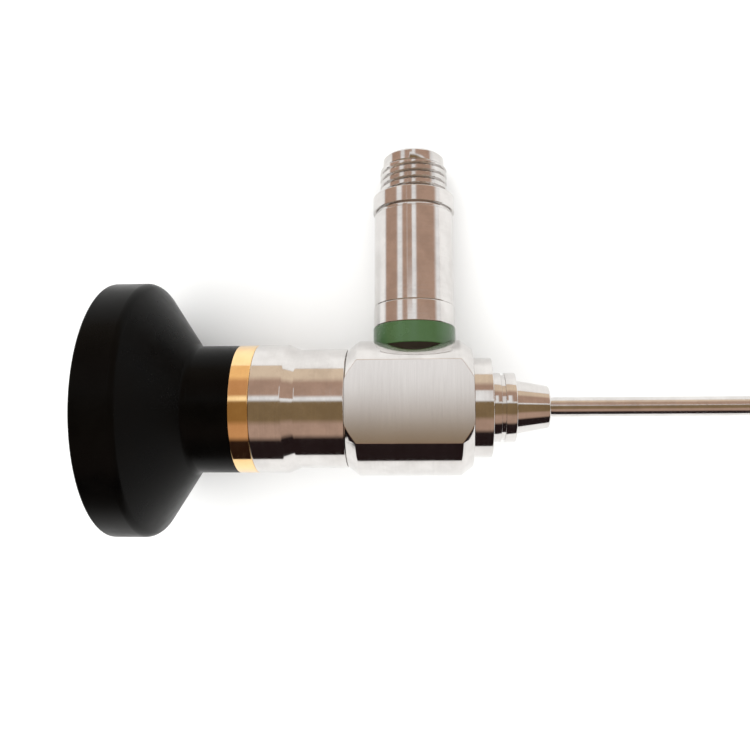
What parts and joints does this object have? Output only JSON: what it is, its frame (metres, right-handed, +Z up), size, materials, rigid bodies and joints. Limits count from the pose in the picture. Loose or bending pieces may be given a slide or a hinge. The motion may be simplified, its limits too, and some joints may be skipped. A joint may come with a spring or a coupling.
{
  "type": "rigid endoscope",
  "caption": "Rigid straight-view endoscope with a black eyecup, milled steel body, side light post with a green ring, and a slim straight shaft.",
  "frame": {"origin": "bottom centre of the box, on the surface that the instrument lies on", "axes": "+X runs from the eyecup to the shaft tip, +Y is the side that the light post leans to, +Z is up"},
  "size_m": [0.1544, 0.0482, 0.032],
  "materials": {
    "black_plastic": "satin black, turned",
    "gold": "polished gold coating",
    "green_plastic": "satin green",
    "seal_rubber": "matt black",
    "fibre": "polished glass fibres in clear resin",
    "optical_glass": "polished and coated",
    "blackened_metal": "matt black anodised",
    "tube_steel": "drawn and polished stainless",
    "block_steel": "polished round, satin flats",
    "turned_steel": "turned and polished stainless"
  },
  "bodies": {
    "root": {"eyecup": "black_plastic", "gold_ring": "gold", "ocular_housing": "turned_steel", "window_ring": "turned_steel", "eyepiece_window": "optical_glass", "window_seal": "seal_rubber", "ocular_cell": "blackened_metal", "ocular_crown_lens": "optical_glass", "ocular_flint_lens": "optical_glass", "ocular_retainer": "blackened_metal", "field_stop": "blackened_metal", "body_block": "block_steel", "front_collar": "turned_steel", "shaft_ferrule": "turned_steel", "nose_cone": "turned_steel", "tube_bush": "turned_steel", "outer_tube": "tube_steel", "fibre_bundle": "fibre", "optical_tube": "tube_steel", "objective_window": "optical_glass", "objective_front_lens": "optical_glass", "objective_spacer": "blackened_metal", "objective_rear_lens": "optical_glass", "rod_lens_1": "optical_glass", "rod_spacer_1": "blackened_metal", "rod_lens_2": "optical_glass", "rod_spacer_2": "blackened_metal", "rod_lens_3": "optical_glass", "rod_spacer_3": "blackened_metal", "rod_lens_4": "optical_glass", "rod_spacer_4": "blackened_metal", "rod_lens_5": "optical_glass", "rod_spacer_5": "blackened_metal", "rod_lens_6": "optical_glass", "rod_spacer_6": "blackened_metal", "colour_ring": "green_plastic", "post_ring": "turned_steel", "post_sleeve": "turned_steel", "post_collar": "turned_steel", "post_nipple": "turned_steel", "post_seal": "seal_rubber", "post_ferrule": "turned_steel"}
  },
  "joints": []
}
